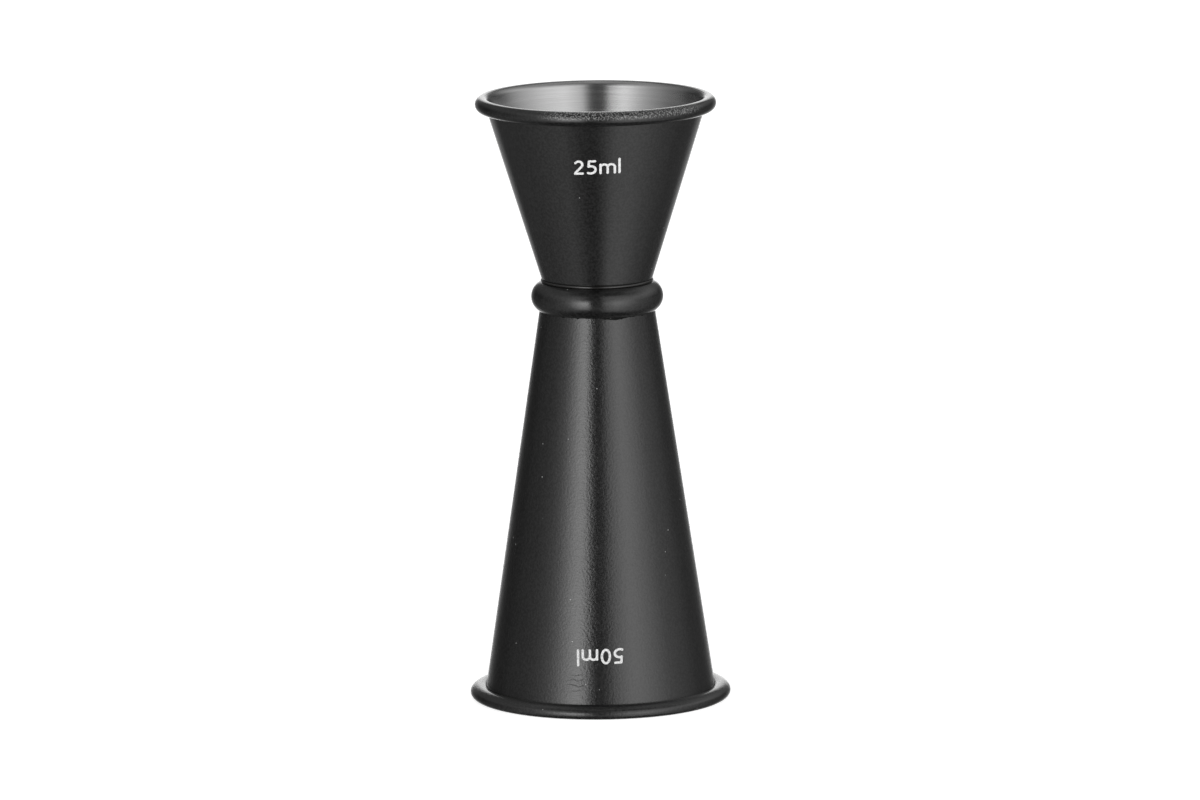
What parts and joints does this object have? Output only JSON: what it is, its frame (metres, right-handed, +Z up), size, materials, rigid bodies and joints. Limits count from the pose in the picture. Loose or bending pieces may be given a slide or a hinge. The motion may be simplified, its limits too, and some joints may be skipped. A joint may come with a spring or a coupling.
{
  "type": "bar jigger",
  "caption": "Double-ended conical measuring cup with rolled rims, black outside and bare steel inside, with a round ring at its waist.",
  "frame": {"origin": "centre of the circle that the large cup's rim stands on", "axes": "+Z up along the axis that both cups and the ring share, from the large cup's mouth to the small cup's; +X to the right and -Y towards the viewer of the capacity marks"},
  "size_m": [0.0494, 0.0494, 0.115],
  "materials": {
    "black_coat": "satin, fine blasted grain",
    "ring_coat": "satin",
    "bare_steel": "brushed round the axis",
    "laser_mark": "matte",
    "braze_filler": "satin",
    "bond_adhesive": "matte"
  },
  "bodies": {
    "root": {"small_cup": "black_coat", "large_cup": "black_coat", "waist_ring": "ring_coat", "floor_braze": "braze_filler", "ring_bond": "bond_adhesive"}
  },
  "joints": []
}
